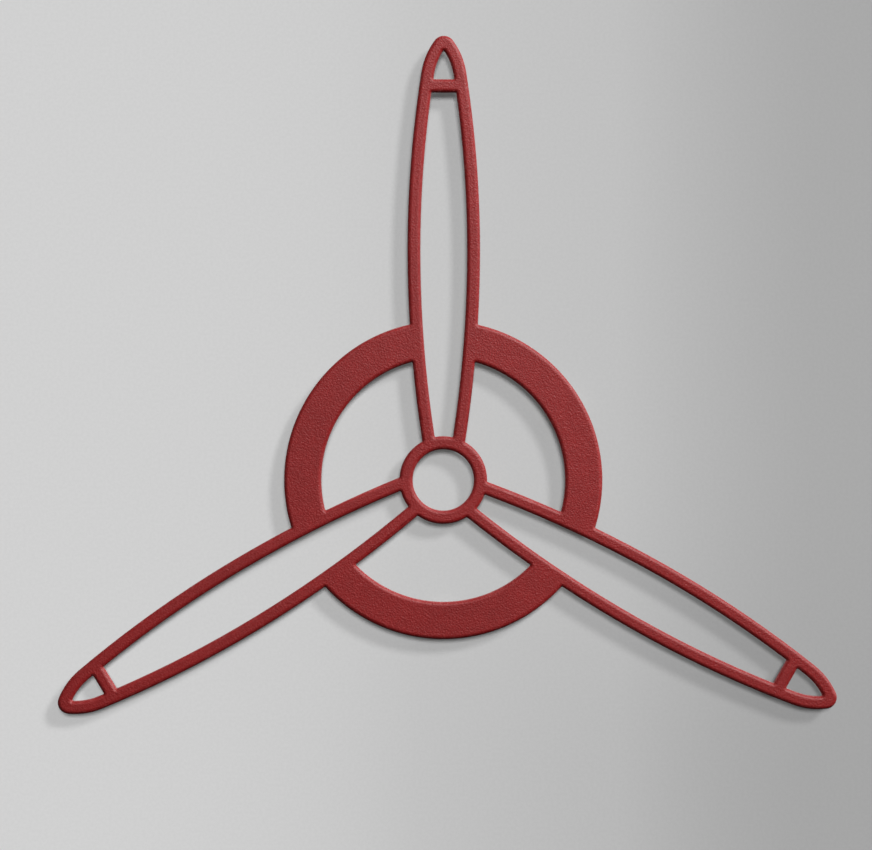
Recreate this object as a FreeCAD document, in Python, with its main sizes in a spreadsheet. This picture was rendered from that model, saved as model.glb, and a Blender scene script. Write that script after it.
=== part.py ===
import FreeCAD, Part
import math
import os
import Sketcher

# Flat wall ornament in the shape of a three-blade aircraft propeller in front of an engine cowl.
# Open blade frames, three arcs of the cowl ring and an open hub ring lie flush in one 8 mm board.
# Glued dowels tie the flush pieces together. Three hidden stand-offs hold the board off the wall.
# Frame: origin at the hub's centre on the wall's surface, +X right, +Z up, front face towards -Y.

Vector = FreeCAD.Vector
Placement = FreeCAD.Placement
Rotation = FreeCAD.Rotation

# Driving dimensions in millimetres and degrees: alias, value, meaning.
SIZES = [
    ("board_thickness", 8.0, "thickness of every flat piece"),
    ("wall_gap", 12.0, "from the wall to the board's back"),
    ("limb_width", 10.0, "width of the blade limbs and crossbars"),
    ("hub_bore_radius", 23.6, "opening of the hub ring"),
    ("hub_outer_radius", 33.8, "outside of the hub ring"),
    ("cowl_inner_radius", 94.0, "inside of the cowl ring"),
    ("cowl_outer_radius", 122.6, "outside of the cowl ring"),
    ("blade_length", 344.8, "blade origin to the nose"),
    ("blade_half_width", 28.0, "half of the blade's widest section"),
    ("widest_height", 179.9, "blade origin to the widest section"),
    ("root_depth", 20.0, "blade origin to the hidden root end"),
    ("root_side_radius", 957.0, "long arc from the root to the widest section"),
    ("tip_side_radius", 884.0, "long arc from the widest section to the shoulder"),
    ("shoulder_radius", 55.5, "arc between the long side and the nose"),
    ("nose_radius", 8.8, "rounded end of the blade"),
    ("nose_wall", 10.8, "from the nose to the pointed end of the blade's opening"),
    ("bar_from_hub", 298.7, "hub centre to the crossbar's near edge"),
    ("top_angle", 90.0, "direction of the top blade"),
    ("top_seat", -2.6, "top blade moved outward"),
    ("top_shift", 0.4, "top blade moved to its right"),
    ("left_angle", 211.3, "direction of the lower left blade"),
    ("left_seat", -0.8, "lower left blade moved outward"),
    ("left_shift", 3.3, "lower left blade moved to its right"),
    ("right_angle", 330.4, "direction of the lower right blade"),
    ("right_seat", 2.6, "lower right blade moved outward"),
    ("right_shift", 0.2, "lower right blade moved to its right"),
    ("inside_corner", 1.0, "cutter radius left in every inside corner"),
    ("round_over", 3.0, "rounded front edges"),
    ("rear_ease", 0.6, "sanded rear edges"),
    ("joint_land", 0.3, "a joint's distance from the face of the piece that runs past it"),
    ("cutter_reach", 1.0, "how far a cutting solid passes the board's faces"),
    ("dowel_radius", 2.0, "dowels at the hub and the cowl ring"),
    ("dowel_length", 16.0, "dowels at the hub and the cowl ring"),
    ("bar_dowel_radius", 1.5, "dowels in the crossbars"),
    ("bar_dowel_length", 10.0, "dowels in the crossbars"),
    ("dowel_reach", 5.0, "depth of a dowel in the narrow piece"),
    ("dowel_pitch", 13.5, "between the two dowels of one cowl joint"),
    ("glue_gap", 0.05, "radial gap round a dowel or screw"),
    ("end_gap", 0.5, "left past each end of a dowel"),
    ("standoff_circle", 108.3, "radius through the three stand-offs"),
    ("barrel_radius", 8.0, "stand-off barrel"),
    ("barrel_length", 11.9, "stand-off barrel, a hair short of the board"),
    ("barrel_floor", 3.5, "solid end of the barrel against the wall"),
    ("spigot_radius", 5.0, "spigot on the board's back"),
    ("spigot_end", 4.2, "wall to the free end of the spigot"),
    ("spigot_recess", 1.0, "depth of the spigot's seat in the board"),
    ("running_gap", 0.05, "radial gap between spigot and barrel"),
    ("wall_hole_radius", 2.25, "wall screw hole in the barrel's floor"),
    ("wall_sink_radius", 4.5, "countersink of the wall screw hole"),
    ("screw_radius", 1.7, "wood screw through the spigot"),
    ("screw_head_radius", 3.35, "head of the wood screw"),
    ("screw_tip", 17.9, "wall to the wood screw's point"),
    ("screw_point", 1.6, "length of the screw's point"),
    ("recess_arm", 3.2, "cross recess in the screw head, across"),
    ("recess_width", 0.7, "cross recess in the screw head, width"),
    ("recess_depth", 1.2, "cross recess in the screw head, depth"),
    ("grub_radius", 1.95, "grub screw, M4"),
    ("grub_hole_radius", 2.0, "threaded hole for the grub screw"),
    ("grub_height", 7.6, "wall to the grub screw's axis"),
    ("grub_tip", 5.02, "barrel axis to the grub screw's point"),
    ("grub_point_radius", 1.2, "flat point of the grub screw"),
    ("grub_end", 7.8, "barrel axis to the grub screw's outer end"),
    ("socket_radius", 1.15, "hexagon socket, across corners, half"),
    ("socket_depth", 1.4, "hexagon socket depth"),
    ("edge_break", 0.5, "chamfer on turned edges"),
    ("fine_break", 0.3, "chamfer on small turned edges"),
]

BLADES = ("top", "left", "right")
ARC_STARTS = {"right": "right", "left": "top", "bottom": "left"}
STANDOFF_ANGLES = {"right": 30.0, "left": 150.0, "bottom": 270.0}

document = FreeCAD.newDocument("propeller_ornament")
sheet = document.addObject("Spreadsheet::Sheet", "sizes")
for row, (alias, value, meaning) in enumerate(SIZES, start=1):
    sheet.set("A%d" % row, meaning)
    sheet.set("B%d" % row, repr(value))
    sheet.setAlias("B%d" % row, alias)
document.recompute()


class Length:
    """A length that carries its number and the sheet formula that gives that number."""

    def __init__(self, value, formula):
        self.value = value
        self.formula = formula

    def join(self, sign, value, other):
        return Length(value, "(%s %s %s)" % (self.formula, sign, other.formula))

    def __add__(self, other):
        return self.join("+", self.value + other.value, other)

    def __sub__(self, other):
        return self.join("-", self.value - other.value, other)

    def __mul__(self, factor):
        return Length(self.value * factor, "(%s * %s)" % (self.formula, factor))


def size(alias):
    return Length(float(sheet.get(alias)), "sizes." + alias)


ZERO = Length(0.0, "0")
BOARD_BACK = size("wall_gap")
BOARD_FRONT = BOARD_BACK + size("board_thickness")
BOARD_MIDDLE = BOARD_BACK + size("board_thickness") * 0.5


def bind(thing, name, length):
    """Give a property its formula, so that a changed cell changes the model."""
    thing.setExpression(name, length.formula)


def origin_plane(body, role):
    for feature in body.Origin.OriginFeatures:
        if feature.Role == role:
            return feature
    raise ValueError(role)


def new_sketch(body, name, role):
    sketch = body.newObject("Sketcher::SketchObject", name)
    sketch.AttachmentSupport = [(origin_plane(body, role), "")]
    sketch.MapMode = "FlatFace"
    return sketch


def dimension(sketch, kind, *where_and_length):
    """Add a driving dimension to a sketch and bind it to the sheet."""
    *where, length = where_and_length
    index = sketch.addConstraint(Sketcher.Constraint(kind, *where, length.value))
    bind(sketch, "Constraints[%d]" % index, length)


def turned_body(name, profile):
    """Revolve a closed profile of (radius, height) corners about the body's Y axis."""
    body = document.addObject("PartDesign::Body", name)
    sketch = new_sketch(body, name + "_profile", "XY_Plane")
    corners = [Vector(radius.value, height.value, 0) for radius, height in profile]
    lines = len(corners)
    for index in range(lines):
        sketch.addGeometry(Part.LineSegment(corners[index], corners[(index + 1) % lines]))
    for index in range(lines):
        following = (index + 1) % lines
        sketch.addConstraint(Sketcher.Constraint("Coincident", index, 2, following, 1))
    for index, (radius, height) in enumerate(profile):
        if radius is ZERO:
            sketch.addConstraint(Sketcher.Constraint("PointOnObject", index, 1, -2))
        else:
            dimension(sketch, "DistanceX", -1, 1, index, 1, radius)
        if height is ZERO:
            sketch.addConstraint(Sketcher.Constraint("PointOnObject", index, 1, -1))
        else:
            dimension(sketch, "DistanceY", -1, 1, index, 1, height)
    turning = body.newObject("PartDesign::Revolution", name + "_turning")
    turning.Profile = sketch
    turning.ReferenceAxis = (sketch, ["V_Axis"])
    turning.Angle = 360
    body.Tip = turning
    return body


def ring_profile(inner, outer, low, high):
    return [(inner, low), (outer, low), (outer, high), (inner, high)]


# Heights in a turned profile count from the wall forwards, so turned bodies face the front.
FACING_FRONT = Rotation(Vector(0, 0, 1), 180)


def boolean(kind, name, base, tool):
    result = document.addObject("Part::" + kind, name)
    result.Base = base
    result.Tool = tool
    return result


def fuse(name, pieces):
    result = document.addObject("Part::MultiFuse", name)
    result.Shapes = pieces
    result.Refine = True
    return result


def gather(name, pieces):
    result = document.addObject("Part::Compound", name)
    result.Links = pieces
    return result


def cylinder(name, radius, height, placement):
    result = document.addObject("Part::Cylinder", name)
    bind(result, "Radius", radius)
    bind(result, "Height", height)
    result.Placement = placement
    return result


# ---- Blade outline -------------------------------------------------------------------------------


def circle_crossing(first, first_radius, second, second_radius):
    """Return the crossing of two circles that lies left of the line from first to second."""
    span = second - first
    along = (span.Length ** 2 + first_radius ** 2 - second_radius ** 2) / (2 * span.Length)
    aside = math.sqrt(first_radius ** 2 - along ** 2)
    forward = span / span.Length
    left = Vector(-forward.y, forward.x, 0)
    return first + forward * along + left * aside


def bearing(start, end):
    return math.atan2(end.y - start.y, end.x - start.x)


def draw_arc(sketch, centre, radius, start_angle, end_angle):
    circle = Part.Circle(centre, Vector(0, 0, 1), radius)
    return sketch.addGeometry(Part.ArcOfCircle(circle, start_angle, end_angle))


def draw_leaf(sketch, inset, end_height, nose):
    """Draw the blade's outline, or its opening, as tangent arcs mirrored about the blade's axis.

    The opening is the outline moved inwards by the limb's width. It is narrower than the nose's
    radius, so its two shoulder arcs meet in a point.
    """
    half_width = size("blade_half_width") - inset
    widest = size("widest_height")
    root_radius = size("root_side_radius") - inset
    tip_radius = size("tip_side_radius") - inset
    shoulder = size("shoulder_radius") - inset
    root = size("root_depth")
    root_centre = Vector(half_width.value - root_radius.value, widest.value, 0)
    tip_centre = Vector(half_width.value - tip_radius.value, widest.value, 0)
    end_centre = Vector(0, end_height.value - nose.value, 0)
    shoulder_centre = circle_crossing(
        end_centre, shoulder.value - nose.value, tip_centre, tip_radius.value - shoulder.value)
    root_angle = -math.asin((widest.value - root.value) / root_radius.value)
    tip_angle = bearing(tip_centre, shoulder_centre)
    end_angle = bearing(shoulder_centre, end_centre)

    def mirrored(point):
        return Vector(-point.x, point.y, 0)

    root_arc = draw_arc(sketch, root_centre, root_radius.value, root_angle, 0)
    tip_arc = draw_arc(sketch, tip_centre, tip_radius.value, 0, tip_angle)
    shoulder_arc = draw_arc(sketch, shoulder_centre, shoulder.value, tip_angle, end_angle)
    nose_arc = None
    if nose is not ZERO:
        nose_arc = draw_arc(sketch, end_centre, nose.value, end_angle, math.pi - end_angle)
    far_shoulder = draw_arc(sketch, mirrored(shoulder_centre), shoulder.value,
                            math.pi - end_angle, math.pi - tip_angle)
    far_tip = draw_arc(sketch, mirrored(tip_centre), tip_radius.value, math.pi - tip_angle, math.pi)
    far_root = draw_arc(sketch, mirrored(root_centre), root_radius.value,
                        math.pi, math.pi - root_angle)
    root_half = root_centre.x + root_radius.value * math.cos(root_angle)
    chord = sketch.addGeometry(Part.LineSegment(
        Vector(-root_half, root.value, 0), Vector(root_half, root.value, 0)))

    tangent_joints = [(root_arc, tip_arc), (tip_arc, shoulder_arc),
                      (far_shoulder, far_tip), (far_tip, far_root)]
    corner_joints = [(far_root, chord), (chord, root_arc)]
    if nose_arc is None:
        corner_joints.append((shoulder_arc, far_shoulder))
    else:
        tangent_joints += [(shoulder_arc, nose_arc), (nose_arc, far_shoulder)]
    for first, second in tangent_joints:
        sketch.addConstraint(Sketcher.Constraint("Tangent", first, 2, second, 1))
    for first, second in corner_joints:
        sketch.addConstraint(Sketcher.Constraint("Coincident", first, 2, second, 1))
    for first, second in ((root_arc, far_root), (tip_arc, far_tip), (shoulder_arc, far_shoulder)):
        sketch.addConstraint(Sketcher.Constraint("Equal", first, second))
    dimension(sketch, "Radius", root_arc, root_radius)
    dimension(sketch, "Radius", tip_arc, tip_radius)
    dimension(sketch, "Radius", shoulder_arc, shoulder)
    dimension(sketch, "DistanceX", -1, 1, root_arc, 2, half_width)
    dimension(sketch, "DistanceY", -1, 1, root_arc, 2, widest)
    dimension(sketch, "DistanceY", -1, 1, root_arc, 1, root)
    sketch.addConstraint(Sketcher.Constraint("Symmetric", root_arc, 2, far_root, 1, -2))
    sketch.addConstraint(Sketcher.Constraint("Horizontal", root_arc, 3, root_arc, 2))
    sketch.addConstraint(Sketcher.Constraint("Horizontal", far_root, 3, far_root, 1))
    sketch.addConstraint(Sketcher.Constraint("Horizontal", chord))
    if nose_arc is None:
        sketch.addConstraint(Sketcher.Constraint("PointOnObject", shoulder_arc, 2, -2))
        dimension(sketch, "DistanceY", -1, 1, shoulder_arc, 2, end_height)
    else:
        sketch.addConstraint(Sketcher.Constraint("PointOnObject", nose_arc, 3, -2))
        dimension(sketch, "Radius", nose_arc, nose)
        dimension(sketch, "DistanceY", -1, 1, nose_arc, 3, end_height - nose)


def leaf_body(name, placement, inset, end_height, nose, reach=ZERO):
    """Pad a blade outline or opening, standing up along +Z, past the board's faces by reach."""
    body = document.addObject("PartDesign::Body", name)
    sketch = new_sketch(body, name + "_outline", "XZ_Plane")
    bind(sketch, "AttachmentOffset.Base.z", BOARD_BACK - reach)
    draw_leaf(sketch, inset, end_height, nose)
    pad = body.newObject("PartDesign::Pad", name + "_pad")
    pad.Profile = sketch
    bind(pad, "Length", size("board_thickness") + reach * 2)
    body.Tip = pad
    body.Placement = placement
    return body


def blade_placement(blade):
    """Turn an upright blade to its direction and seat it beside the hub's centre."""
    turn = Placement(Vector(0, 0, 0), Rotation(Vector(0, -1, 0), size(blade + "_angle").value - 90))
    seat = Vector(size(blade + "_shift").value, 0, size(blade + "_seat").value)
    return turn.multiply(Placement(seat, Rotation()))


def limb_side(height, inset):
    """Half-width of the blade at a height below its widest section, moved inwards by inset."""
    radius = size("root_side_radius").value
    drop = height - size("widest_height").value
    return size("blade_half_width").value - radius + math.sqrt(radius ** 2 - drop ** 2) - inset


def tip_side(height, inset):
    """Half-width of the blade at a height between its widest section and its shoulder."""
    radius = size("tip_side_radius").value
    rise = height - size("widest_height").value
    return size("blade_half_width").value - radius + math.sqrt(radius ** 2 - rise ** 2) - inset


# ---- Whole board, rounded before it is divided so that the round-over runs across every joint ----

REACH = size("cutter_reach")
LAND = size("joint_land")
opening_end = size("blade_length") - size("nose_wall")


def bar_box(name, blade, margin, reach):
    """A block across the blade where its crossbar lies, larger by margin and reach."""
    block = document.addObject("Part::Box", name)
    bind(block, "Length", size("blade_half_width") * 2)
    bind(block, "Width", size("board_thickness") + reach * 2)
    bind(block, "Height", size("limb_width") + margin * 2)
    low = size("bar_from_hub").value - size(blade + "_seat").value - margin.value
    corner = Vector(-size("blade_half_width").value, -BOARD_FRONT.value - reach.value, low)
    block.Placement = placements[blade].multiply(Placement(corner, Rotation()))
    return block


def facing_front(body):
    body.Placement = Placement(Vector(0, 0, 0), FACING_FRONT)
    return body


placements = {blade: blade_placement(blade) for blade in BLADES}
outlines = {}
windows = {}
crossbar_blanks = {}
for blade in BLADES:
    outlines[blade] = leaf_body("outline_" + blade, placements[blade], ZERO,
                                size("blade_length"), size("nose_radius"))
    windows[blade] = leaf_body("window_" + blade, placements[blade], size("limb_width"),
                               opening_end, ZERO, REACH)
    crossbar_blanks[blade] = boolean(
        "Common", "bar_blank_" + blade, bar_box("bar_stock_" + blade, blade, ZERO, ZERO),
        windows[blade])

hub_stock = facing_front(turned_body("hub_stock", ring_profile(
    size("hub_bore_radius"), size("hub_outer_radius"), BOARD_BACK, BOARD_FRONT)))
hub_bore = facing_front(turned_body("hub_bore", ring_profile(
    ZERO, size("hub_bore_radius"), BOARD_BACK - REACH, BOARD_FRONT + REACH)))
hub_territory = facing_front(turned_body("hub_territory", ring_profile(
    ZERO, size("hub_outer_radius") + LAND, BOARD_BACK - REACH, BOARD_FRONT + REACH)))
cowl_stock = facing_front(turned_body("cowl_stock", ring_profile(
    size("cowl_inner_radius"), size("cowl_outer_radius"), BOARD_BACK, BOARD_FRONT)))

silhouette = fuse("silhouette", [cowl_stock] + [outlines[blade] for blade in BLADES])
opened = boolean("Cut", "opened", silhouette,
                 gather("all_windows", [windows[blade] for blade in BLADES]))
joined = fuse("joined", [opened, hub_stock] + [crossbar_blanks[blade] for blade in BLADES])
bored = boolean("Cut", "bored", joined, hub_bore)
document.recompute()

board = document.addObject("PartDesign::Body", "board")
board.BaseFeature = bored
document.recompute()


def sharp_upright_edges(shape):
    """Name the edges along Y whose two walls meet at an angle."""
    names = []
    for number, edge in enumerate(shape.Edges, start=1):
        box = edge.BoundBox
        if max(box.XLength, box.ZLength) > 1e-4:
            continue
        middle = edge.valueAt((edge.FirstParameter + edge.LastParameter) / 2)
        normals = []
        for face in shape.ancestorsOfType(edge, Part.Face):
            normals.append(face.normalAt(*face.Surface.parameter(middle)))
        if len(normals) == 2 and normals[0].getAngle(normals[1]) > math.radians(5):
            names.append("Edge%d" % number)
    return names


def flat_faces_at(shape, height):
    """Name the faces that lie at a height above the wall."""
    names = []
    for number, face in enumerate(shape.Faces, start=1):
        box = face.BoundBox
        if abs(box.YMin + height) < 1e-4 and abs(box.YMax + height) < 1e-4:
            names.append("Face%d" % number)
    return names


def round_edges(name, radius, pick):
    """Add a fillet to the board on the edges or faces that pick names."""
    before = board.Tip
    fillet = board.newObject("PartDesign::Fillet", name)
    fillet.Base = (before, pick(before.Shape))
    bind(fillet, "Radius", radius)
    board.Tip = fillet
    document.recompute()


round_edges("inside_corners", size("inside_corner"), sharp_upright_edges)
round_edges("front_round_over", size("round_over"),
            lambda shape: flat_faces_at(shape, BOARD_FRONT.value))
round_edges("rear_eased_edges", size("rear_ease"),
            lambda shape: flat_faces_at(shape, BOARD_BACK.value))

# ---- Dowel holes and dowels ----------------------------------------------------------------------


def dowel_axis(blade, x, z, direction_x, direction_z):
    """A placement in the blade's frame whose Z axis runs along a dowel in the board's middle."""
    turn = Rotation(Vector(0, 0, 1), Vector(direction_x, 0, direction_z))
    return placements[blade].multiply(Placement(Vector(x, -BOARD_MIDDLE.value, z), turn))


def hub_dowel_places():
    """One dowel along each limb's centre line, starting inside the hub ring."""
    places = []
    half = size("limb_width").value / 2
    radius = size("root_side_radius").value
    for blade in BLADES:
        height = size("hub_outer_radius").value * 0.94 - size(blade + "_seat").value
        lean = (size("widest_height").value - height) / radius
        for side in (1, -1):
            reach = size("dowel_reach").value
            start_x = limb_side(height, half) - reach * lean
            places.append(dowel_axis(blade, side * start_x, height - reach, side * lean, 1))
    return places


def cowl_dowel_places():
    """Two dowels across each joint between a limb's outer edge and the end of a cowl arc."""
    places = []
    middle = size("standoff_circle").value
    pitch = size("dowel_pitch").value
    for blade in BLADES:
        for distance in (middle - pitch / 2, middle + pitch / 2):
            half_width = limb_side(distance, 0)
            height = math.sqrt(distance ** 2 - half_width ** 2) - size(blade + "_seat").value
            start_x = limb_side(height, 0) - size("dowel_reach").value
            for side in (1, -1):
                places.append(dowel_axis(blade, side * start_x, height, side, 0))
    return places


def bar_dowel_places():
    """One short dowel at each end of a crossbar, from the limb into the bar."""
    places = []
    width = size("limb_width").value
    for blade in BLADES:
        height = size("bar_from_hub").value - size(blade + "_seat").value + width / 2
        start_x = tip_side(height, width) + size("dowel_reach").value
        for side in (1, -1):
            places.append(dowel_axis(blade, side * start_x, height, -side, 0))
    return places


def drill_dowel_holes(name, places, radius, length):
    holes = []
    for number, place in enumerate(places, start=1):
        start = place.multiply(Placement(Vector(0, 0, -size("end_gap").value), Rotation()))
        holes.append(cylinder("%s_hole_%d" % (name, number), radius + size("glue_gap"),
                              length + size("end_gap") * 2, start))
    return holes


def group(label, prototype, places):
    """One node made of several separate copies of a solid."""
    node = document.addObject("Part::Feature", label)
    copies = []
    for place in places:
        copy = prototype.Shape.copy()
        copy.Placement = place.multiply(copy.Placement)
        copies.append(copy)
    node.Shape = Part.makeCompound(copies)
    return node


# A dowel stands along Z in its own frame, from the narrow piece into the wide one.
UPRIGHT = Placement(Vector(0, 0, 0), Rotation(Vector(1, 0, 0), 90))


def dowel_body(name, radius, length):
    chamfer = size("edge_break")
    body = turned_body(name, [
        (ZERO, ZERO), (radius - chamfer, ZERO), (radius, chamfer),
        (radius, length - chamfer), (radius - chamfer, length), (ZERO, length)])
    body.Placement = UPRIGHT
    return body


dowel_kinds = {
    "hub_dowels": (hub_dowel_places(), size("dowel_radius"), size("dowel_length")),
    "cowl_dowels": (cowl_dowel_places(), size("dowel_radius"), size("dowel_length")),
    "crossbar_dowels": (bar_dowel_places(), size("bar_dowel_radius"), size("bar_dowel_length")),
}
dowel_prototypes = {}
drillings = []
for label, (places, radius, length) in dowel_kinds.items():
    dowel_prototypes[label] = dowel_body(label + "_prototype", radius, length)
    drillings += drill_dowel_holes(label, places, radius, length)

# ---- Stand-off positions and the holes that they need in the board -------------------------------


def standoff_place(side, height=0.0):
    """Where a stand-off's axis meets the wall, moved forwards by height."""
    angle = math.radians(STANDOFF_ANGLES[side])
    distance = size("standoff_circle").value
    return Vector(distance * math.cos(angle), -height, distance * math.sin(angle))


spigot_hole_profile = [
    (ZERO, BOARD_BACK - size("end_gap")),
    (size("spigot_radius") + size("running_gap"), BOARD_BACK - size("end_gap")),
    (size("spigot_radius") + size("running_gap"), BOARD_BACK + size("spigot_recess")),
    (size("screw_radius") + size("glue_gap"), BOARD_BACK + size("spigot_recess")),
    (size("screw_radius") + size("glue_gap"), size("screw_tip") + size("glue_gap")),
    (ZERO, size("screw_tip") + size("glue_gap")),
]
for side in STANDOFF_ANGLES:
    seat = turned_body("spigot_seat_" + side, spigot_hole_profile)
    seat.Placement = Placement(standoff_place(side), FACING_FRONT)
    drillings.append(seat)

# ---- The board divided into its pieces -----------------------------------------------------------

nodes = {}


def keep(label, piece):
    piece.Label = label
    nodes[label] = piece


drilled_board = boolean("Cut", "drilled_board", board, gather("all_drillings", drillings))


def divide(label, territory):
    """Take the part of the drilled board that lies inside a territory."""
    keep(label, boolean("Common", label, drilled_board, territory))


# Each joint lies a hair outside the piece that runs past it, so that it ends in the inside corners.
divide("hub_ring", hub_territory)
leaf_territories = []
for blade in BLADES:
    leaf = leaf_body("leaf_territory_" + blade, placements[blade], ZERO - LAND,
                     size("blade_length") + LAND, size("nose_radius") + LAND, REACH)
    leaf_territories.append(leaf)
    inner_leaf = leaf_body("bar_end_" + blade, placements[blade], size("limb_width") + LAND,
                           opening_end, ZERO, REACH)
    bar_territory = boolean(
        "Common", "bar_territory_" + blade,
        bar_box("bar_room_" + blade, blade, LAND * 2, REACH * 2), inner_leaf)
    not_frame = gather("not_frame_" + blade, [hub_territory, bar_territory])
    divide("blade_frame_" + blade, boolean("Cut", "frame_territory_" + blade, leaf, not_frame))
    divide("tip_crossbar_" + blade, bar_territory)

blades_and_hub = gather("blades_and_hub", leaf_territories + [hub_territory])
for side, blade in ARC_STARTS.items():
    turn = Rotation(Vector(0, -1, 0), size(blade + "_angle").value)
    sector = cylinder("sector_" + side, size("cowl_outer_radius") * 1.1, BOARD_FRONT + REACH,
                      Placement(Vector(0, 0, 0), turn.multiply(UPRIGHT.Rotation)))
    sector.Angle = 120
    divide("cowl_arc_" + side,
           boolean("Cut", "arc_territory_" + side, sector, blades_and_hub))

# ---- Stand-offs ----------------------------------------------------------------------------------

bore_radius = size("spigot_radius") + size("running_gap")
barrel_profile = [
    (size("wall_hole_radius"), ZERO),
    (size("barrel_radius") - size("edge_break"), ZERO),
    (size("barrel_radius"), size("edge_break")),
    (size("barrel_radius"), size("barrel_length") - size("edge_break")),
    (size("barrel_radius") - size("edge_break"), size("barrel_length")),
    (bore_radius + size("fine_break"), size("barrel_length")),
    (bore_radius, size("barrel_length") - size("fine_break")),
    (bore_radius, size("barrel_floor")),
    (size("wall_sink_radius"), size("barrel_floor")),
    (size("wall_hole_radius"),
     size("barrel_floor") + size("wall_hole_radius") - size("wall_sink_radius")),
]
screw_bore = size("screw_radius") + size("glue_gap")
screw_sink = size("screw_head_radius") + size("glue_gap")
spigot_profile = [
    (screw_bore, BOARD_BACK + size("spigot_recess")),
    (size("spigot_radius"), BOARD_BACK + size("spigot_recess")),
    (size("spigot_radius"), size("spigot_end") + size("edge_break")),
    (size("spigot_radius") - size("edge_break"), size("spigot_end")),
    (screw_sink, size("spigot_end")),
    (screw_bore, size("spigot_end") + screw_sink - screw_bore),
]
screw_profile = [
    (ZERO, size("spigot_end")),
    (size("screw_head_radius"), size("spigot_end")),
    (size("screw_radius"),
     size("spigot_end") + size("screw_head_radius") - size("screw_radius")),
    (size("screw_radius"), size("screw_tip") - size("screw_point")),
    (ZERO, size("screw_tip")),
]
grub_profile = [
    (ZERO, size("grub_tip")),
    (size("grub_point_radius"), size("grub_tip")),
    (size("grub_radius"), size("grub_tip") + size("grub_radius") - size("grub_point_radius")),
    (size("grub_radius"), size("grub_end") - size("fine_break")),
    (size("grub_radius") - size("fine_break"), size("grub_end")),
    (ZERO, size("grub_end")),
]

for side, angle in STANDOFF_ANGLES.items():
    outward = Vector(math.cos(math.radians(angle)), 0, math.sin(math.radians(angle)))
    crosswise = standoff_place(side, size("grub_height").value)
    radial = Placement(crosswise, Rotation(Vector(0, 0, 1), outward))

    turned_barrel = turned_body("barrel_turned_" + side, barrel_profile)
    turned_barrel.Placement = Placement(standoff_place(side), FACING_FRONT)
    grub_hole = cylinder("grub_hole_" + side, size("grub_hole_radius"),
                         size("barrel_radius") + size("edge_break"), radial)
    keep("standoff_barrel_" + side,
         boolean("Cut", "barrel_drilled_" + side, turned_barrel, grub_hole))

    spigot = turned_body("spigot_turned_" + side, spigot_profile)
    spigot.Placement = Placement(standoff_place(side), FACING_FRONT)
    keep("standoff_spigot_" + side, spigot)

    turned_grub = turned_body("grub_turned_" + side, grub_profile)
    turned_grub.Placement = Placement(crosswise, Rotation(Vector(0, 1, 0), outward))
    socket = document.addObject("Part::Prism", "socket_" + side)
    socket.Polygon = 6
    bind(socket, "Circumradius", size("socket_radius"))
    bind(socket, "Height", size("socket_depth"))
    socket_floor = size("grub_end") - size("socket_depth")
    socket.Placement = radial.multiply(Placement(Vector(0, 0, socket_floor.value), Rotation()))
    keep("grub_screw_" + side, boolean("Cut", "grub_socketed_" + side, turned_grub, socket))

turned_screw = turned_body("screw_turned", screw_profile)
recess_arms = []
for name, along, across in (("recess_x", "Length", "Width"), ("recess_y", "Width", "Length")):
    arm = document.addObject("Part::Box", name)
    bind(arm, along, size("recess_arm"))
    bind(arm, across, size("recess_width"))
    bind(arm, "Height", size("recess_depth"))
    recess_arms.append(arm)
half_arm = size("recess_arm").value / 2
half_slot = size("recess_width").value / 2
mouth = size("spigot_end").value
HEADWARDS = Rotation(Vector(1, 0, 0), -90)
recess_arms[0].Placement = Placement(Vector(-half_arm, mouth, half_slot), HEADWARDS)
recess_arms[1].Placement = Placement(Vector(-half_slot, mouth, half_arm), HEADWARDS)
screw_prototype = boolean("Cut", "screw_prototype", turned_screw,
                          fuse("cross_recess", recess_arms))
document.recompute()

keep("spigot_screws", group("spigot_screws", screw_prototype, [
    Placement(standoff_place(side), FACING_FRONT) for side in STANDOFF_ANGLES]))
for label, (places, radius, length) in dowel_kinds.items():
    keep(label, group(label, dowel_prototypes[label], places))

# ---- Check and write -----------------------------------------------------------------------------

document.recompute()
for thing in document.Objects:
    if "Invalid" in thing.State or "Error" in thing.State:
        raise RuntimeError("%s did not build: %s" % (thing.Name, thing.State))

EXPECTED_SOLIDS = {"spigot_screws": 3, "hub_dowels": 6, "cowl_dowels": 12, "crossbar_dowels": 6}
os.makedirs("parts", exist_ok=True)
for label, piece in nodes.items():
    shape = piece.Shape
    if shape.isNull() or not shape.isValid():
        raise RuntimeError(label + " has no valid shape")
    if len(shape.Solids) != EXPECTED_SOLIDS.get(label, 1):
        raise RuntimeError("%s has %d solids" % (label, len(shape.Solids)))
    shape.exportStep("parts/%s.step" % label)
    print("%-24s %10.1f mm3" % (label, shape.Volume))
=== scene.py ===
import math

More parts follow.
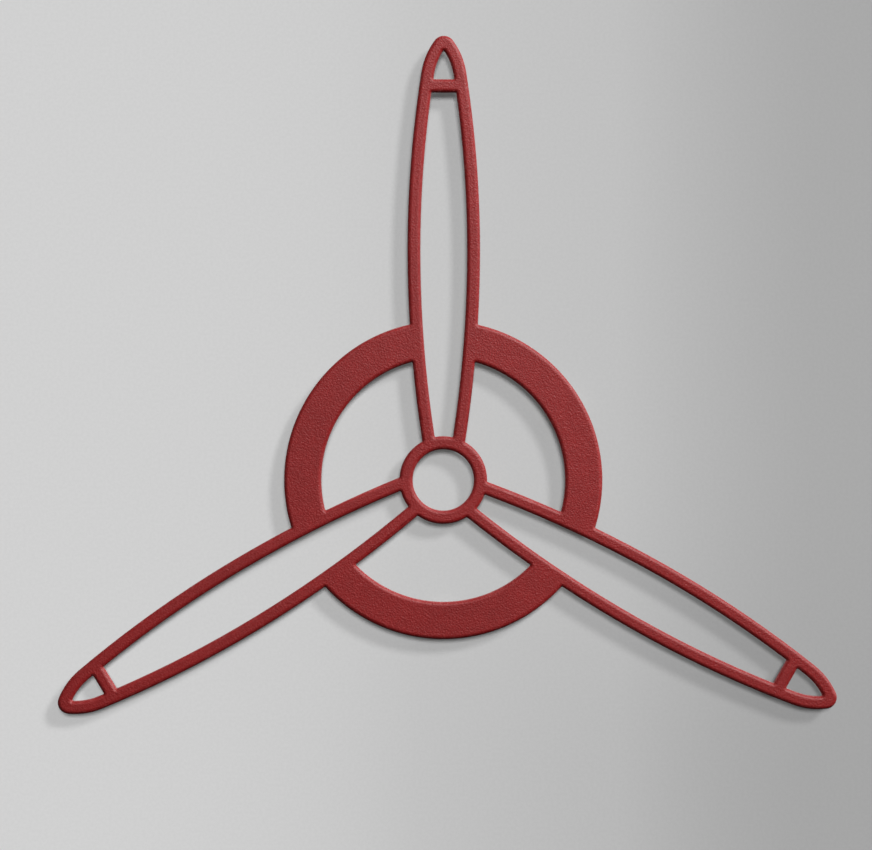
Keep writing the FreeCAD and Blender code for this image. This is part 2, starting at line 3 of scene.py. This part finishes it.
import bpy
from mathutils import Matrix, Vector


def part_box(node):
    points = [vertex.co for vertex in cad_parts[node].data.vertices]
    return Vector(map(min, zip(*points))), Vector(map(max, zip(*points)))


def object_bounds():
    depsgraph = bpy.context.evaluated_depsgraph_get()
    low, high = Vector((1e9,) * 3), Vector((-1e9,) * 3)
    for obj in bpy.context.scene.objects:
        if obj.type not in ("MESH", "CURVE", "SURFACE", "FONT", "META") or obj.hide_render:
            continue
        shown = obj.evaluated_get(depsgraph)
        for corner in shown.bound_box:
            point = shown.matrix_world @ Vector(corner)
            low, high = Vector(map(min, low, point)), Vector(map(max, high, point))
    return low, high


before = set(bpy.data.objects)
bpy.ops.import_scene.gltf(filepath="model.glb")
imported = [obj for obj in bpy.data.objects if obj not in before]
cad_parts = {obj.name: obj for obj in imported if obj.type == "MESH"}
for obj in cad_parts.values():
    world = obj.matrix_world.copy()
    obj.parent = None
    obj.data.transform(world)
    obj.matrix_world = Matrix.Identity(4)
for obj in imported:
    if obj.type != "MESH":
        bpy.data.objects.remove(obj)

cad_low, cad_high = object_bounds()

# ---- Names and places, in metres -----------------------------------------------------------------

SIDES = ("right", "left", "bottom")
FRONT_Y = cad_low.y
MM = 0.001

# Direction of the wood grain in each flat piece, in degrees from +X in the plane of the board.
GRAIN_DIRECTION = {
    "hub_ring": 20.0,
    "blade_frame_top": 90.0,
    "blade_frame_left": 211.0,
    "blade_frame_right": 330.0,
    "tip_crossbar_top": 0.0,
    "tip_crossbar_left": 121.0,
    "tip_crossbar_right": 240.0,
    "cowl_arc_right": 120.0,
    "cowl_arc_left": 60.0,
    "cowl_arc_bottom": 0.0,
}


def node_centre(name):
    low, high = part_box(name)
    return (low + high) / 2


# ---- Material building ---------------------------------------------------------------------------


class Shader:
    """One node material, with short calls for the nodes that its surface needs."""

    def __init__(self, name):
        self.material = bpy.data.materials.new(name)
        self.material.use_nodes = True
        self.tree = self.material.node_tree
        self.surface = self.tree.nodes["Principled BSDF"]
        self.output = self.tree.nodes["Material Output"]

    def add(self, kind, inputs=(), **settings):
        node = self.tree.nodes.new("ShaderNode" + kind)
        for setting, value in settings.items():
            setattr(node, setting, value)
        for socket, value in dict(inputs).items():
            self.join(node.inputs[socket], value)
        return node

    def join(self, socket, value):
        if isinstance(value, bpy.types.NodeSocket):
            self.tree.links.new(value, socket)
        else:
            socket.default_value = value

    def place(self, scale=(1, 1, 1), shift=(0, 0, 0), turn=0.0):
        """Object coordinates in metres, turned in the board's plane, then scaled and moved."""
        source = self.add("TexCoord").outputs["Object"]
        turned = self.add("Mapping", {"Vector": source, "Rotation": (0.0, turn, 0.0)})
        scaled = self.add("Mapping", {
            "Vector": turned.outputs["Vector"], "Location": shift, "Scale": scale})
        return scaled.outputs["Vector"]

    def noise(self, where, scale, detail=2.0, roughness=0.5, distortion=0.0):
        return self.add("TexNoise", {
            "Vector": where, "Scale": scale, "Detail": detail, "Roughness": roughness,
            "Distortion": distortion}).outputs["Fac"]

    def cells(self, where, scale):
        return self.add("TexVoronoi", {"Vector": where, "Scale": scale},
                        feature="SMOOTH_F1").outputs["Distance"]

    def math(self, operation, first, second):
        node = self.add("Math", operation=operation)
        self.join(node.inputs[0], first)
        self.join(node.inputs[1], second)
        return node.outputs[0]

    def range(self, value, low, high, to_low=0.0, to_high=1.0):
        return self.add("MapRange", {
            "Value": value, "From Min": low, "From Max": high,
            "To Min": to_low, "To Max": to_high},
            interpolation_type="SMOOTHSTEP").outputs["Result"]

    def blend(self, share, first, second, mode="MIX"):
        node = self.add("Mix", data_type="RGBA", blend_type=mode)
        self.join(node.inputs["Factor"], share)
        self.join(node.inputs[6], first)
        self.join(node.inputs[7], second)
        return node.outputs[2]

    def facing(self):
        """The surface normal's X, Y and Z in the object's own frame."""
        normal = self.add("TexCoord").outputs["Normal"]
        return self.add("SeparateXYZ", {"Vector": normal}).outputs

    def grey(self, level):
        """The same value for red, green and blue."""
        return self.add("CombineXYZ", {"X": level, "Y": level, "Z": level}).outputs["Vector"]

    def shaded(self, base, level):
        """A colour made darker or lighter by level."""
        return self.blend(1.0, base, self.grey(level), "MULTIPLY")

    def bump(self, height, distance, strength, under=None):
        inputs = {"Height": height, "Distance": distance, "Strength": strength}
        if under is not None:
            inputs["Normal"] = under
        return self.add("Bump", inputs).outputs["Normal"]

    def finish(self, **inputs):
        for socket, value in inputs.items():
            self.join(self.surface.inputs[socket.replace("_", " ")], value)
        return self.material


def colour(red, green, blue):
    return (red, green, blue, 1.0)


# ---- Painted board -------------------------------------------------------------------------------

# How many grains and beads of paint there are to a metre, and how deep they are.
PAINT_GRAIN = 760.0
PAINT_BEADS = 900.0
PAINT_RELIEF = 0.31 * MM

PAINT_DEEP = colour(0.268, 0.0050, 0.0052)
PAINT_MAIN = colour(0.306, 0.0190, 0.0192)
# Lighter, pinker paint for the painted highlight on the rounded edge.
PAINT_EDGE_HIGHLIGHT = colour(0.400, 0.0900, 0.0850)
WOOD_PALE = colour(0.600, 0.430, 0.270)
WOOD_DARK = colour(0.330, 0.190, 0.095)


def painted_board(name, grain_degrees, tone):
    """Textured red paint over a wooden board, which stays bare and sanded on its back."""
    shader = Shader(name)
    skin = shader.place()
    grain = shader.math("ADD", shader.noise(skin, PAINT_GRAIN, 2.0, 0.55),
                        shader.math("MULTIPLY", shader.cells(skin, PAINT_BEADS), 0.60))
    mottle = shader.noise(skin, 95.0, 3.0, 0.55)
    broad = shader.noise(skin, 9.0, 2.0, 0.5)
    facing = shader.facing()
    frontness = shader.math("MULTIPLY", facing["Y"], -1.0)

    # Paint colour: fine speckle in the coat, partly its grain and partly painted sheen; soft
    # mottling; a painted highlight in patches along the rounded edge.
    # The lighter, less red speckles are partly the coat's grain and partly painted sheen.
    speckle_and_sheen = shader.range(grain, 0.55, 1.05)
    paint = shader.blend(speckle_and_sheen, PAINT_DEEP, PAINT_MAIN)
    mottled = shader.range(mottle, 0.30, 0.72, 0.95, 1.05)
    paint = shader.shaded(paint, mottled)
    cloud = shader.range(broad, 0.35, 0.65, 0.96, 1.04)
    paint = shader.shaded(paint, cloud)
    # Painted highlight: a lighter, pinker paint in patches on the rounded edge, all round the rim.
    on_edge = shader.math("MULTIPLY", shader.range(frontness, 0.35, 0.62),
                          shader.range(frontness, 0.97, 0.86))
    edge_highlight_patches = shader.range(shader.noise(skin, 210.0, 4.0, 0.6), 0.50, 0.66, 0.0, 0.30)
    paint = shader.blend(shader.math("MULTIPLY", on_edge, edge_highlight_patches), paint, PAINT_EDGE_HIGHLIGHT)

    # Bare wood on the back: wavy growth rings along the piece, fine pores, a light red overspray.
    turn = math.radians(grain_degrees)
    shift = (tone * 3.0, tone, tone * 2.0)
    rings = shader.noise(shader.place((5.0, 40.0, 150.0), shift, turn), 1.0, 6.0, 0.66, 0.6)
    pores = shader.noise(shader.place((120.0, 900.0, 1700.0), shift, turn), 1.0, 2.0, 0.5)
    wood = shader.blend(shader.range(rings, 0.30, 0.70), WOOD_DARK, WOOD_PALE)
    dark_pore = shader.range(pores, 0.58, 0.72, 0.0, 0.50)
    wood = shader.blend(dark_pore, wood, WOOD_DARK)
    tint = 0.90 + 0.20 * tone
    wood = shader.blend(1.0, wood, colour(tint, tint, tint), "MULTIPLY")
    spray = shader.math("MULTIPLY", shader.range(shader.noise(skin, 1400.0, 2.0), 0.60, 0.70),
                        shader.range(broad, 0.40, 0.70, 0.10, 0.55))
    wood = shader.blend(spray, wood, PAINT_MAIN)

    # The paint wraps the sides, where it is thinner and duller, and stops unevenly on the rear edge.
    ragged = shader.math("ADD", facing["Y"], shader.range(mottle, 0.3, 0.7, -0.16, 0.16))
    bare = shader.range(ragged, 0.62, 0.80)
    base = shader.blend(bare, paint, wood)
    satin = shader.math("ADD", shader.range(grain, 0.5, 1.1, 0.50, 0.40),
                        shader.range(frontness, 0.28, 0.04, 0.0, 0.20))
    sanded = shader.range(rings, 0.3, 0.7, 0.68, 0.58)
    roughness = shader.add("Mix", {"Factor": bare, "A": satin, "B": sanded}).outputs["Result"]
    coat = shader.bump(grain, PAINT_RELIEF, shader.range(frontness, 0.04, 0.28, 0.30, 1.0))
    relief = shader.bump(shader.math("MULTIPLY", pores, bare), 0.16 * MM, 0.8, coat)
    return shader.finish(Base_Color=base, Roughness=roughness, Normal=relief,
                         Specular_IOR_Level=0.42)


# ---- Dowels --------------------------------------------------------------------------------------


def dowel_wood(name):
    """Fluted beech dowel stock."""
    shader = Shader(name)
    fibres = shader.noise(shader.place(), 500.0, 4.0, 0.6, 0.4)
    base = shader.blend(shader.range(fibres, 0.3, 0.7), WOOD_DARK, WOOD_PALE)
    return shader.finish(Base_Color=base, Roughness=shader.range(fibres, 0.3, 0.7, 0.7, 0.55),
                         Normal=shader.bump(fibres, 0.10 * MM, 0.6))


# ---- Metal ---------------------------------------------------------------------------------------

# Lathe marks to a metre.
TOOL_MARKS = 5200.0

ALUMINIUM = (colour(0.80, 0.80, 0.81), colour(0.58, 0.58, 0.60), 0.26)
ZINC = (colour(0.74, 0.72, 0.66), colour(0.52, 0.50, 0.45), 0.30)
BLACK_OXIDE = (colour(0.060, 0.060, 0.066), colour(0.025, 0.025, 0.028), 0.38)


def turned_metal(name, centres, light, dark, roughness):
    """Lathe-turned metal: rings round the nearest of the axes through centres, along Y."""
    shader = Shader(name)
    radius = None
    for centre in centres:
        offset = shader.place(shift=(-centre.x, 0.0, -centre.z))
        parts = shader.add("SeparateXYZ", {"Vector": offset}).outputs
        flat = shader.add("CombineXYZ", {"X": parts["X"], "Z": parts["Z"]}).outputs["Vector"]
        away = shader.add("VectorMath", {0: flat}, operation="LENGTH").outputs["Value"]
        radius = away if radius is None else shader.math("MINIMUM", radius, away)
    travel = shader.math("ADD", radius, parts["Y"])
    ring_line = shader.add("CombineXYZ", {"X": shader.math("MULTIPLY", travel, TOOL_MARKS)})
    rings = shader.noise(ring_line.outputs["Vector"], 1.0, 2.0, 0.6)
    stains = shader.noise(shader.place(), 240.0, 3.0, 0.6)
    shade = shader.math("ADD", shader.math("MULTIPLY", rings, 0.55),
                        shader.math("MULTIPLY", stains, 0.45))
    base = shader.blend(shader.range(shade, 0.35, 0.65), dark, light)
    rough = shader.range(shade, 0.35, 0.65, roughness + 0.10, roughness)
    return shader.finish(Base_Color=base, Metallic=1.0, Roughness=rough,
                         Normal=shader.bump(rings, 0.04 * MM, 0.6))


# ---- Finishes on the CAD pieces ------------------------------------------------------------------


def dress(node_name, material):
    """Give a CAD piece its finish."""
    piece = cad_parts[node_name]
    piece.data.materials.clear()
    piece.data.materials.append(material)
    for polygon in piece.data.polygons:
        polygon.material_index = 0


# Each board has its own tone from 0 to 1, spread evenly over the boards. Paint reflects no red
# on its surroundings, so that the wall stays grey.
for index, (node_name, degrees) in enumerate(sorted(GRAIN_DIRECTION.items())):
    tone = (index * 37 % 11) / 11
    dress(node_name, painted_board("painted_" + node_name, degrees, tone))
    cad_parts[node_name].visible_diffuse = False
for node_name in ("hub_dowels", "cowl_dowels", "crossbar_dowels"):
    dress(node_name, dowel_wood("beech_" + node_name))
axes = [node_centre("standoff_barrel_" + side) for side in SIDES]
for side, axis in zip(SIDES, axes):
    dress("standoff_barrel_" + side, turned_metal("turned_barrel_" + side, [axis], *ALUMINIUM))
    dress("standoff_spigot_" + side, turned_metal("turned_spigot_" + side, [axis], *ALUMINIUM))
    dress("grub_screw_" + side, turned_metal("grub_" + side, [axis], *BLACK_OXIDE))
dress("spigot_screws", turned_metal("zinc_screws", axes, *ZINC))

# ---- Stage: a pale wall with painted shade -------------------------------------------------------

WALL_HALF = 1.6
WALL_ALBEDO = 0.805

# Painted shade on the wall, darker towards its right: places along X in metres, and shares of its
# brightness.
WALL_SHADE = (
    (-0.325, 1.000), (-0.187, 0.978), (-0.095, 0.960), (-0.020, 0.895), (0.136, 0.826),
    (0.182, 0.751), (0.229, 0.688), (0.285, 0.625), (0.400, 0.610),
)


def pale_wall():
    """A pale wall that only its front shows, so that the back of the object can be seen, with painted
    shade: darker to the right and low across the middle.
    """
    shader = Shader("pale_wall")
    where = shader.place()
    spot = shader.add("SeparateXYZ", {"Vector": where}).outputs
    first, last = WALL_SHADE[0][0], WALL_SHADE[-1][0]
    along = shader.add("MapRange", {
        "Value": spot["X"], "From Min": first, "From Max": last}).outputs["Result"]
    ramp = shader.add("ValToRGB", {"Fac": along})
    ramp.color_ramp.interpolation = "B_SPLINE"
    stops = ramp.color_ramp.elements
    while len(stops) < len(WALL_SHADE):
        stops.new(0.5)
    for stop, (place, share) in zip(stops, WALL_SHADE):
        stop.position = (place - first) / (last - first)
        level = share * WALL_ALBEDO
        stop.color = colour(level, level, level)
    grain = shader.range(shader.noise(where, 420.0, 2.0), 0.3, 0.7, 0.985, 1.015)
    # Painted shade: the wall is darker towards the bottom, most to the right of the middle, over a
    # fine grain.
    painted_shade_across = shader.math("SUBTRACT", shader.range(spot["X"], -0.28, 0.18, 0.0, 0.095),
                         shader.range(spot["X"], 0.20, 0.32, 0.0, 0.040))
    low_shade = shader.math("MULTIPLY", painted_shade_across, shader.range(spot["Z"], 0.04, -0.25))
    tone = shader.math("SUBTRACT", grain, low_shade)
    shader.finish(Base_Color=shader.shaded(ramp.outputs["Color"], tone), Roughness=0.9,
                  Specular_IOR_Level=0.0)
    behind = shader.add("NewGeometry").outputs["Backfacing"]
    clear = shader.add("BsdfTransparent").outputs["BSDF"]
    mix = shader.add("MixShader", {0: behind})
    shader.join(mix.inputs[1], shader.surface.outputs["BSDF"])
    shader.join(mix.inputs[2], clear)
    shader.join(shader.output.inputs["Surface"], mix.outputs["Shader"])
    return shader.material


wall_mesh = bpy.data.meshes.new("wall")
wall_mesh.from_pydata(
    [(-WALL_HALF, 0, -WALL_HALF), (WALL_HALF, 0, -WALL_HALF),
     (WALL_HALF, 0, WALL_HALF), (-WALL_HALF, 0, WALL_HALF)], [], [(0, 1, 2, 3)])
wall = bpy.data.objects.new("wall", wall_mesh)
wall_mesh.materials.append(pale_wall())
bpy.context.scene.collection.objects.link(wall)
wall.visible_diffuse = False
wall.visible_glossy = False

# ---- Camera --------------------------------------------------------------------------------------

VIEW_WIDTH = 0.6708
CAMERA_DISTANCE = 2.4
AIM = Vector((-0.0056, FRONT_Y, 0.0424))

camera_data = bpy.data.cameras.new("camera")
camera = bpy.data.objects.new("camera", camera_data)
camera.location = AIM + Vector((0, -CAMERA_DISTANCE, 0))
camera.rotation_euler = (math.radians(90), 0, 0)
camera_data.angle = 2 * math.atan(VIEW_WIDTH / 2 / CAMERA_DISTANCE)
bpy.context.scene.collection.objects.link(camera)
bpy.context.scene.camera = camera

# ---- Lights --------------------------------------------------------------------------------------


def light_direction(tilt, turn):
    """Unit vector towards a light, tilt degrees off the wall's normal and turned from +X to +Z."""
    tilt, turn = math.radians(tilt), math.radians(turn)
    return Vector((math.sin(tilt) * math.cos(turn), -math.cos(tilt), math.sin(tilt) * math.sin(turn)))


def lit_group(name, members):
    """A set of objects that a lamp lights or is blocked by."""
    group = bpy.data.collections.new(name)
    for member in members:
        group.objects.link(member)
    return group


OBJECT_ONLY = lit_group("object_only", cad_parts.values())
WALL_ONLY = lit_group("wall_only", [wall])


def place_lamp(data, direction, distance, receivers):
    lamp = bpy.data.objects.new(data.name, data)
    lamp.location = direction * distance
    lamp.rotation_euler = direction.to_track_quat("Z", "Y").to_euler()
    bpy.context.scene.collection.objects.link(lamp)
    lamp.light_linking.receiver_collection = receivers
    return lamp


def far_lamp(name, direction, width, strength, receivers):
    """A soft lamp so far off that its light is even; width is its apparent size in degrees."""
    data = bpy.data.lights.new(name, "SUN")
    data.angle = math.radians(width)
    data.energy = strength
    return place_lamp(data, direction, 3.0, receivers)


def near_lamp(name, direction, distance, size, watts, receivers):
    data = bpy.data.lights.new(name, "AREA")
    data.shape = "DISK"
    data.size = size
    data.energy = watts
    return place_lamp(data, direction, distance, receivers)


# The wall: an even front light, and a weaker one from the upper right that draws the soft shadow.
far_lamp("wall_key", light_direction(44, 45), 12, 0.80, WALL_ONLY)
far_lamp("wall_front", light_direction(11, 75), 13, 1.50, WALL_ONLY)

# The object: one soft box from the upper right, a weak front fill, and a card that it reflects.
near_lamp("object_key", light_direction(47, 56), 2.2, 0.70, 33.5, OBJECT_ONLY)
far_lamp("object_rim", light_direction(74, 34), 24, 1.55, OBJECT_ONLY)
front_fill = far_lamp("object_front", light_direction(5, 60), 30, 0.17, OBJECT_ONLY)
front_fill.visible_glossy = False
card = near_lamp("reflection_card", light_direction(26, 80), 1.8, 1.0, 6.0, OBJECT_ONLY)
card.visible_diffuse = False

# The back and the left sides, lit through the wall. The metal doesn't mirror these lamps.
REAR_LAMPS = (("rear", (0.30, 1.0, 0.34), 1.9), ("rear_left", (-0.62, 0.75, 0.15), 1.3))
for name, direction, power in REAR_LAMPS:
    rear_lamp = far_lamp(name, Vector(direction).normalized(), 40, power, OBJECT_ONLY)
    rear_lamp.light_linking.blocker_collection = OBJECT_ONLY
    rear_lamp.visible_glossy = False

# The room: pale where it is seen. As a light it is brighter from above and in front, and brightest
# from behind on the upper right. Each part is a direction, two shares of it, and their brightness.
ROOM_SEEN = 0.62
ROOM_FRONT = (Vector((0.0, -0.35, 0.94)).normalized(), -1.0, 1.0, 0.02, 0.18)
ROOM_BEHIND = (Vector((0.45, 0.62, 0.64)).normalized(), 0.25, 0.90, 0.0, 0.98)

world = bpy.data.worlds.new("studio")
world.use_nodes = True
nodes, links = world.node_tree.nodes, world.node_tree.links
direction_seen = nodes.new("ShaderNodeTexCoord").outputs["Generated"]
room = nodes.new("ShaderNodeMath")
for socket, (towards, low, high, dim, bright) in zip(room.inputs, (ROOM_FRONT, ROOM_BEHIND)):
    share = nodes.new("ShaderNodeVectorMath")
    share.operation = "DOT_PRODUCT"
    share.inputs[1].default_value = towards
    links.new(direction_seen, share.inputs[0])
    level = nodes.new("ShaderNodeMapRange")
    for end, value in (("From Min", low), ("From Max", high), ("To Min", dim), ("To Max", bright)):
        level.inputs[end].default_value = value
    links.new(share.outputs["Value"], level.inputs["Value"])
    links.new(level.outputs["Result"], socket)
strength = nodes.new("ShaderNodeMix")
strength.inputs["B"].default_value = ROOM_SEEN
links.new(nodes.new("ShaderNodeLightPath").outputs["Is Camera Ray"], strength.inputs["Factor"])
links.new(room.outputs["Value"], strength.inputs["A"])
links.new(strength.outputs["Result"], nodes["Background"].inputs["Strength"])
nodes["Background"].inputs["Color"].default_value = colour(1.0, 1.0, 1.0)
bpy.context.scene.world = world
bpy.context.scene.view_settings.view_transform = "Standard"
